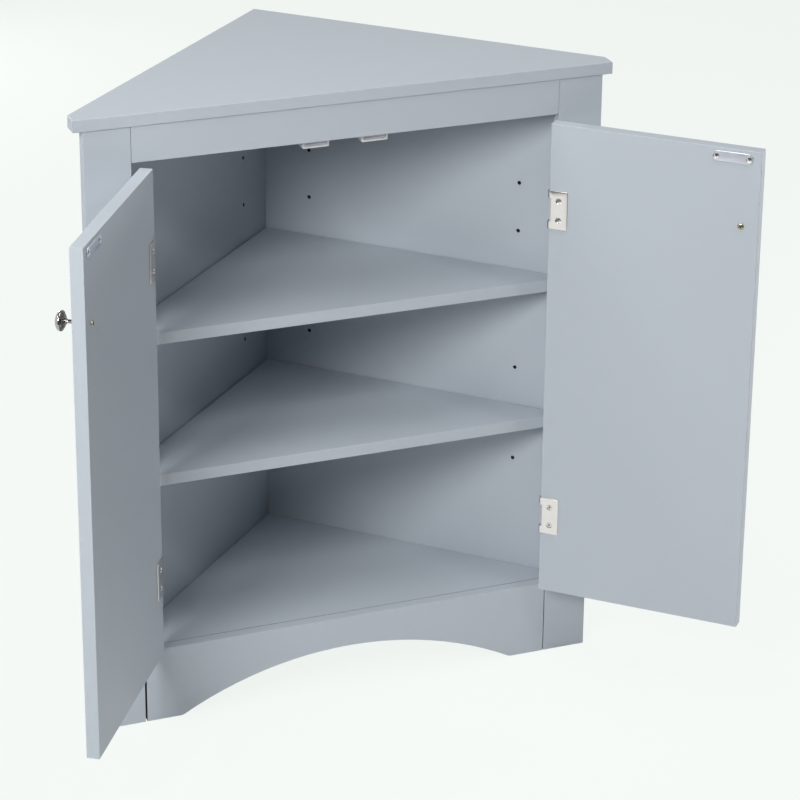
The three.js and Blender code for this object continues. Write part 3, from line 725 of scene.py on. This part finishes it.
def door_leaf(free, back, height):
    """The leaf on a shut left door, level with the hinge's middle."""
    level = centre_knuckle / 2 + knuckle_play
    sheet_y = back - sheet / 2
    low = Vector((notch_reach, sheet_y, -height / 2))
    high = Vector((free, sheet_y, height / 2))
    leaf = sheet_plate("wrap_leaf", low, high, level, "X")
    round_corners(lambda at: at.x > free - sheet and abs(at.z) > level + sheet)
    select_parts("EDGE", lambda at: at.x < notch_reach + 0.1 * sheet and abs(at.z) > level)
    extrude_edges((arm_place + bend_radius - notch_reach, 0, 0))
    spin_edges(math.pi / 2, (arm_place + bend_radius, sheet_y - bend_radius, 0), bend_steps)
    ratio = (curl_entry_radius - arm_place) / (curl_entry_radius + knuckle_middle_radius)
    entry = math.acos(ratio)
    entry_y = (curl_entry_radius + knuckle_middle_radius) * math.sin(entry)
    extrude_edges((0, entry_y - sheet_y + bend_radius, 0))
    spin_edges(-entry, (arm_place - curl_entry_radius, entry_y, 0), curl_entry_steps)
    spin_edges(door_knuckle_roll, (0, 0, 0), door_knuckle_steps)
    thicken(leaf)
    for end in (-1, 1):
        seat = Vector((leaf_screw_reach, back, end * leaf_screw_spacing / 2))
        countersink(leaf, seat, Vector((0, 1, 0)))
    # Painted shade: the arms' bends, which lie in the joint's shade, get the dark finish.
    paint_shade(leaf, lambda at: at.x < arm_place + arm_shade_depth and at.y > entry_y)
    bpy.ops.object.shade_smooth_by_angle(angle=sheet_smooth_angle)
    return leaf


def stile_leaf(front, back, height):
    """The leaf on the left stile's inner edge, level with the hinge's middle."""
    level = centre_knuckle / 2
    low = Vector((stile_sheet_place, front, -height / 2))
    high = Vector((stile_sheet_place, back, height / 2))
    leaf = sheet_plate("stile_leaf", low, high, level, "Y")
    round_corners(lambda at: abs(at.z) > level + sheet)
    select_parts("EDGE", lambda at: at.y < front + 0.1 * sheet and abs(at.z) < level)
    extrude_edges((0, -front, 0))
    spin_edges(stile_knuckle_roll, (0, 0, 0), stile_knuckle_steps)
    thicken(leaf)
    face, middle = stile_sheet_place + sheet / 2, (front + back) / 2
    for end in (-1, 1):
        seat = Vector((face, middle, end * leaf_screw_spacing / 2))
        countersink(leaf, seat, Vector((1, 0, 0)))
    bpy.ops.object.shade_smooth_by_angle(angle=sheet_smooth_angle)
    return leaf


def hinge_pin(radius, reach):
    """A pin with a small round head at either end, whose middle is at height zero."""
    neck = reach - pin_head_height
    upper = [
        (pin_shank_radius, neck), (radius, neck), (radius, reach - pin_head_rim),
        (radius - pin_head_rim, reach), (radius / 2, reach),
    ]
    rings = [(r, -h) for r, h in reversed(upper)] + upper
    return turn_on_lathe("hinge_pin", rings, pin_sides)


low, high = box_in(on_door("left"), "left_upper_door_leaf")
wrap_master = door_leaf(high.x, high.y, high.z - low.z)
low, high = box_in(on_stile("left"), "left_upper_frame_leaf")
stile_master = stile_leaf(high.y - stile_leaf_width, high.y, high.z - low.z)
low, high = box_in(on_stile("left"), "left_upper_hinge_pin")
pin_master = hinge_pin(high.x, (high.z - low.z) / 2)
out_of_stile = Vector((1, 0, 0)).to_track_quat("Z", "Y").to_matrix().to_4x4()

for hand in ("left", "right"):
    for level in ("upper", "lower"):
        name = f"{hand}_{level}"
        low, high = box_in(on_door(hand), f"{name}_door_leaf")
        height = Matrix.Translation((0, 0, (low.z + high.z) / 2))
        settle(
            copy_of(wrap_master, f"{name}_wrap_leaf"), on_door(hand) @ height, door_body[hand],
            "hinge_steel", (hinge_nickel, painted_shade_metal), f"{name}_door_leaf",
        )
        settle(
            copy_of(stile_master, f"{name}_stile_leaf"), on_stile(hand) @ height, "cabinet",
            "hinge_steel", (hinge_nickel,), f"{name}_frame_leaf",
        )
        settle(
            copy_of(pin_master, f"{name}_pin"), on_stile(hand) @ height, "cabinet",
            "hinge_steel", (hinge_nickel,), f"{name}_hinge_pin",
        )
        back = box_in(on_stile(hand), f"{name}_frame_leaf")[1].y
        for number, end in ((1, -1), (2, 1)):
            seat = Matrix.Translation((
                stile_sheet_place + sheet / 2 - screw_sink,
                back - stile_leaf_width / 2,
                end * leaf_screw_spacing / 2,
            ))
            spun = Matrix.Rotation(stile_screw_spin + stile_screw_spin_step * number, 4, "Z")
            settle(
                copy_of(screw, f"{name}_stile_screw_{number}"),
                on_stile(hand) @ height @ seat @ out_of_stile @ spun,
                "cabinet", "screw_steel", nickel_and_recess_shade,
            )


# Strike plates. A flat strip of satin zinc-plated steel with round ends lies near the top of
# each door's inner face, screwed down at both ends, for the magnet to hold.
strike_screw_spacing = 41 * mm
strike_rim_radius = 0.3 * mm
strike_sides = 64
strike_zinc = finish_of(
    "strike_zinc", plating, (0.74, 0.76, 0.83, 1), 1.0,
    Tone=0.12, Roughness=0.34, Dullness=0.14, Grain=0.3,
)


def strike_plate(low, high):
    """A disc whose two halves are drawn apart, made thick and broken at the rim."""
    deselect_all()
    radius = (high.z - low.z) / 2
    reach = (high.x - low.x) / 2 - radius
    middle = Vector(((low.x + high.x) / 2, low.y, (low.z + high.z) / 2))
    bpy.ops.mesh.primitive_circle_add(vertices=strike_sides, radius=radius, fill_type="NGON")
    plate = bpy.context.object
    plate.name = "strike_plate"
    plate.rotation_euler = (0, 0, math.pi / strike_sides)
    bpy.ops.object.transform_apply(location=True, rotation=True, scale=True)
    bpy.ops.object.mode_set(mode="EDIT")
    for side in (-1, 1):
        select_parts("VERT", lambda at: at.x * side > 0)
        bpy.ops.transform.translate(value=(side * reach, 0, 0))
    bpy.ops.mesh.select_all(action="SELECT")
    rise = (0, 0, high.y - low.y)
    bpy.ops.mesh.extrude_region_move(TRANSFORM_OT_translate={"value": rise})
    turn_faces_outwards()
    plate.matrix_world = Matrix.Translation(middle) @ lying
    bpy.ops.object.transform_apply(location=True, rotation=True, scale=True)
    round_edges(plate, strike_rim_radius, segments=3, degrees=50)
    for end in (-1, 1):
        seat = Vector((middle.x + end * strike_screw_spacing / 2, high.y, middle.z))
        countersink(plate, seat, Vector((0, 1, 0)))
    bpy.ops.object.shade_smooth_by_angle(angle=sheet_smooth_angle)
    return plate


strike_master = strike_plate(*box_in(on_door("left"), "left_strike_plate"))
for hand in ("left", "right"):
    settle(
        copy_of(strike_master, f"{hand}_strike_strip"), on_door(hand), door_body[hand],
        "strike_steel", (strike_zinc,), f"{hand}_strike_plate",
    )


# Knobs. Each is turned in one piece, with a flared foot, a thin stem and a shallow domed head.
# It is polished dark nickel; the hollow behind its rim is painted darker, as painted shade and
# reflection. A bolt with a domed yellow head goes through the door and holds it.
knob_sides = 72
knob_foot_shares = [  # shares of the knob's radius and of its projection
    (0.583, 0.000), (0.583, 0.026), (0.545, 0.044), (0.425, 0.062), (0.335, 0.085), (0.275, 0.115),
    (0.238, 0.160), (0.216, 0.220), (0.206, 0.300), (0.200, 0.380), (0.197, 0.430), (0.200, 0.462),
]
knob_bead_shares = [
    (0.235, 0.474), (0.285, 0.488), (0.312, 0.506), (0.315, 0.524), (0.295, 0.541), (0.262, 0.550),
]
knob_back_shares = [
    (0.330, 0.562), (0.360, 0.570), (0.400, 0.572), (0.480, 0.570), (0.570, 0.577), (0.660, 0.592),
    (0.735, 0.614), (0.785, 0.642), (0.812, 0.670), (0.828, 0.684), (0.852, 0.688), (0.875, 0.680),
]
knob_rim_shares = [
    (0.905, 0.672), (0.940, 0.674), (0.970, 0.686), (0.990, 0.706), (1.000, 0.734), (0.997, 0.764),
    (0.980, 0.793),
]
knob_dome_shares = [
    (0.950, 0.822), (0.885, 0.860), (0.790, 0.898), (0.670, 0.932), (0.530, 0.960), (0.380, 0.981),
    (0.220, 0.995), (0.080, 1.000), (0.020, 1.000),
]
knob_profile_shares = [
    *knob_foot_shares, *knob_bead_shares, *knob_back_shares, *knob_rim_shares, *knob_dome_shares,
]
underside_inner_share = 0.3
underside_from_share, underside_to_share = 0.55, 0.7
dark_nickel = finish_of(
    "polished_dark_nickel", plating, (0.46, 0.43, 0.41, 1), 1.0,
    Tone=0.1, Roughness=0.07, Dullness=0.05, Grain=0.02,
)
# Painted shade and reflection: a darker nickel for the hollow behind the knob's rim.
knob_underside_painted_shade = finish_of(
    "knob_underside_painted_shade", plating, (0.25, 0.235, 0.22, 1), 1.0,
    Tone=0.15, Roughness=0.16, Dullness=0.08, Grain=0.05,
)
bolt_sides = 40
bolt_shank_radius = 2.0 * mm
bolt_head_height = 2.0 * mm
bolt_recess_reach = 3.1 * mm
bolt_recess_width = 1.5 * mm
bolt_turn = {"left": 0.6, "right": 1.1}
yellow_zinc = finish_of(
    "yellow_zinc", plating, (0.50, 0.45, 0.30, 1), 1.0,
    Tone=0.3, Roughness=0.22, Dullness=0.16, Grain=0.2,
)
outwards = Matrix.Rotation(math.pi / 2, 4, "X")

for hand in ("left", "right"):
    low, high = box_in(on_door(hand), f"{hand}_knob")
    radius, projection = (high.z - low.z) / 2, high.y - low.y
    rings = [(share * radius, along * projection) for share, along in knob_profile_shares]
    knob = turn_on_lathe(f"{hand}_turned_knob", rings, knob_sides)
    shade_from, shade_to = underside_from_share * projection, underside_to_share * projection
    stem = underside_inner_share * radius
    # The hollow behind the rim gets the darker finish: painted shade.
    paint_shade(knob, lambda at: at.xy.length > stem and shade_from < at.z < shade_to)
    seat = Matrix.Translation(inner_middle(low, high))
    settle(
        knob, on_door(hand) @ seat @ outwards, door_body[hand],
        "knob_nickel", (dark_nickel, knob_underside_painted_shade), f"{hand}_knob",
    )

    low, high = box_in(on_door(hand), f"{hand}_knob_bolt")
    radius = (high.z - low.z) / 2
    bolt_rings = [
        (bolt_shank_radius - 0.4 * mm, low.y - high.y),
        (bolt_shank_radius, low.y - high.y + 0.5 * mm),
        (bolt_shank_radius, -bolt_head_height), (radius - 0.15 * mm, -bolt_head_height),
        (radius, -1.8 * mm), (radius, -1.3 * mm), (0.95 * radius, -0.8 * mm),
        (0.82 * radius, -0.4 * mm), (0.62 * radius, -0.15 * mm), (0.35 * radius, 0),
    ]
    bolt = turn_on_lathe(f"{hand}_pan_bolt", bolt_rings, bolt_sides)
    cross_recess(bolt, bolt_recess_reach, bolt_recess_width)
    seat = Matrix.Translation(inner_middle(low, high))
    spun = Matrix.Rotation(bolt_turn[hand], 4, "Z")
    settle(
        bolt, on_door(hand) @ seat @ lying @ spun, door_body[hand],
        "yellow_zinc", (yellow_zinc, painted_shade_metal), f"{hand}_knob_bolt",
    )


# Catches. Each is a white moulded case on the back of the rail, with a mouth in its front in
# which a grey magnet floats between two steel pole plates.
catch_wall = 3 * mm
catch_flange = 4 * mm
catch_rim_radius = 1.1 * mm
catch_edge_radius = 0.3 * mm
mouth_lip = 0.5 * mm
magnet_play = 0.2 * mm
gap_behind_rail = 0.1 * mm
flange_lift = 0.3 * mm


def moulded_plastic():
    """Moulded plastic: a fine spark texture and a slightly uneven sheen."""
    group, given = node_group("moulded_plastic", ("Unevenness", "Roughness", "Texture"))
    cloud = noise(group, scale=60, detail=2)
    spark = noise(group, scale=1800, detail=2)
    tone = centred(group, cloud, given["Unevenness"])
    rough = centred(group, cloud, 0.1, given["Roughness"])
    sparked = bumped(group, spark, given["Texture"], distance=0.04 * mm)
    return finished(group, given["Colour"], tone, rough, sparked)


def box_piece(name, low, high):
    """A block between two corners, left in edit mode."""
    deselect_all()
    bpy.ops.mesh.primitive_cube_add(size=1, location=(low + high) / 2)
    piece = bpy.context.object
    piece.name = name
    piece.scale = high - low
    bpy.ops.object.transform_apply(location=True, rotation=True, scale=True)
    bpy.ops.object.mode_set(mode="EDIT")
    return piece


moulding = moulded_plastic()
catch_white = finish_of(
    "catch_white", moulding, (0.93, 0.94, 0.96, 1), Unevenness=0.03, Roughness=0.35, Texture=0.12,
)
magnet_grey = finish_of(
    "magnet_grey", moulding, (0.74, 0.74, 0.76, 1), 0.1, Unevenness=0.2, Roughness=0.42, Texture=0.5,
)
rail_low, rail_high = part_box("top_rail")

for hand in ("left", "right"):
    low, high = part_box(f"{hand}_catch_case")
    magnet_low, magnet_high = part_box(f"{hand}_catch_magnet")
    front = magnet_low.y - mouth_lip
    case = box_piece(
        f"{hand}_moulded_catch", Vector((low.x, front, low.z)),
        Vector((high.x, high.y, magnet_high.z + catch_wall)),
    )
    select_parts("FACE", lambda at: at.y < front + 0.1 * catch_wall)
    bpy.ops.mesh.inset(thickness=catch_wall - magnet_play)
    inwards = (0, magnet_high.y - front + magnet_play, 0)
    bpy.ops.mesh.extrude_region_move(TRANSFORM_OT_translate={"value": inwards})
    bpy.ops.object.mode_set(mode="OBJECT")
    round_edges(case, catch_rim_radius, segments=4, degrees=60)
    flange = box_piece(
        f"{hand}_catch_flange",
        Vector((low.x, rail_high.y + gap_behind_rail, rail_low.z + flange_lift)),
        Vector((high.x, rail_high.y + catch_flange, high.z)),
    )
    middle, shoulder = (low.x + high.x) / 2, high.z - catch_flange
    select_parts("EDGE", lambda at: at.z > shoulder and abs(at.x - middle) > catch_wall)
    bpy.ops.mesh.bevel(offset=catch_wall, segments=6, affect="EDGES")
    bpy.ops.object.mode_set(mode="OBJECT")
    combine(case, flange, "UNION")
    round_edges(case, catch_edge_radius, segments=2, degrees=60)
    bpy.ops.object.shade_smooth_by_angle(angle=sheet_smooth_angle)
    settle(
        case, Matrix.Identity(4), "cabinet", "white_plastic", (catch_white,), f"{hand}_catch_case",
    )

    magnet = frame["nodes"][f"{hand}_catch_magnet"]
    magnet.data.materials.clear()
    magnet.data.materials.append(magnet_grey)


# Shelf pins. Nickel-plated steel pegs stand in the holes of the side panels: a round shank, a
# collar against the panel and a half-round tongue whose flat side carries the shelf.
peg_shank_radius = 2.4 * mm
peg_collar_radius = 4.2 * mm
peg_tongue_radius = 4.19 * mm  # a hair less than the collar, so that their faces don't meet
peg_tongue_end = 11.1 * mm
peg_flat = 2 * mm
peg_sides = 40
pin_nickel = finish_of(
    "pin_nickel", plating, (0.70, 0.69, 0.66, 1), 1.0,
    Tone=0.15, Roughness=0.22, Dullness=0.14, Grain=0.1,
)


def shelf_pin():
    """A peg along Z: the panel's face is at zero, and the tongue's flat faces -Y."""
    peg = turn_on_lathe("shelf_peg", [
        (peg_shank_radius - 0.4 * mm, -8.5 * mm), (peg_shank_radius, -8.1 * mm),
        (peg_shank_radius, 0.15 * mm), (peg_collar_radius - 0.2 * mm, 0.15 * mm),
        (peg_collar_radius, 0.35 * mm), (peg_collar_radius, 0.9 * mm),
        (peg_collar_radius - 0.2 * mm, 1.1 * mm),
    ], peg_sides)
    tongue = turn_on_lathe("shelf_peg_tongue", [
        (peg_tongue_radius, 0.9 * mm), (peg_tongue_radius, peg_tongue_end - 0.3 * mm),
        (peg_collar_radius - 0.3 * mm, peg_tongue_end),
    ], peg_sides)
    bpy.ops.object.mode_set(mode="EDIT")
    bpy.ops.mesh.select_all(action="SELECT")
    bpy.ops.mesh.bisect(
        plane_co=(0, peg_flat, 0), plane_no=(0, -1, 0), use_fill=True, clear_outer=True,
    )
    turn_faces_outwards()
    combine(peg, tongue, "UNION")
    bpy.ops.object.shade_smooth_by_angle(angle=turned_smooth_angle)
    return peg


peg_master = shelf_pin()
for level in ("upper", "lower"):
    for row in ("back", "front"):
        for hand, side in (("left", -1), ("right", 1)):
            node = f"{level}_pin_{row}_{hand}"
            low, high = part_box(node)
            into_room = Vector((-side, -1, 0)).normalized()
            tip = max(vertex.co.dot(into_room) for vertex in frame["nodes"][node].data.vertices)
            centre = (low + high) / 2
            face = centre + into_room * (tip - peg_tongue_end - centre.dot(into_room))
            across = Vector((0, 0, 1)).cross(into_room)
            pose = Matrix((across, Vector((0, 0, -1)), into_room)).transposed().to_4x4()
            pose.translation = Vector((face.x, face.y, high.z - peg_collar_radius))
            peg = copy_of(peg_master, f"{level}_{row}_{hand}_peg")
            settle(peg, pose, "cabinet", "pin_steel", (pin_nickel,), node)

for master in (screw, wrap_master, stile_master, pin_master, strike_master, peg_master):
    bpy.data.objects.remove(master)
